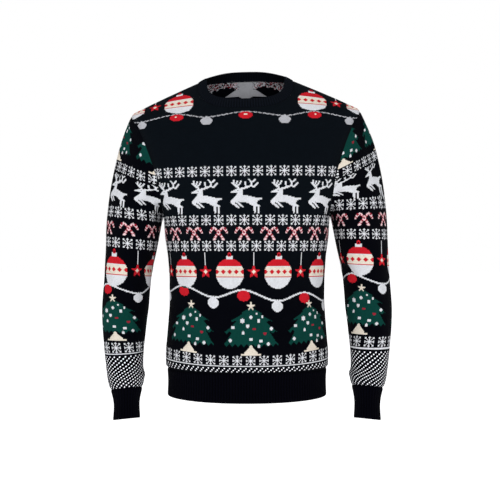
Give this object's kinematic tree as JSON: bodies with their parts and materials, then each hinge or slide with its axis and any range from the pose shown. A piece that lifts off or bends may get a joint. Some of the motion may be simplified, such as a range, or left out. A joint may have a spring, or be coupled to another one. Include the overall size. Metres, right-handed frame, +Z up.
{
  "type": "christmas sweater",
  "caption": "Hollow knitted crew neck sweater with long set-in sleeves, ribbed neckband, cuffs and waistband, in a dark navy holiday jacquard.",
  "frame": {"origin": "midway between the two neck points, where the neckband meets the shoulder seams, in the plane of the side seams", "axes": "+Z up, +X to the wearer's left, the front faces -Y"},
  "size_m": [0.6216, 0.2434, 0.7485],
  "materials": {
    "jacquard_knit": "fine acrylic jacquard knit, matt, dark navy ground with white, red, green and cream motifs",
    "rib_knit": "two by two rib knit, matt, near black navy"
  },
  "bodies": {
    "root": {"front": "jacquard_knit", "back": "jacquard_knit", "sleeve_left": "jacquard_knit", "sleeve_right": "jacquard_knit", "neckband": "rib_knit", "waistband_front": "rib_knit", "waistband_back": "rib_knit", "cuff_left": "rib_knit", "cuff_right": "rib_knit"}
  },
  "joints": []
}
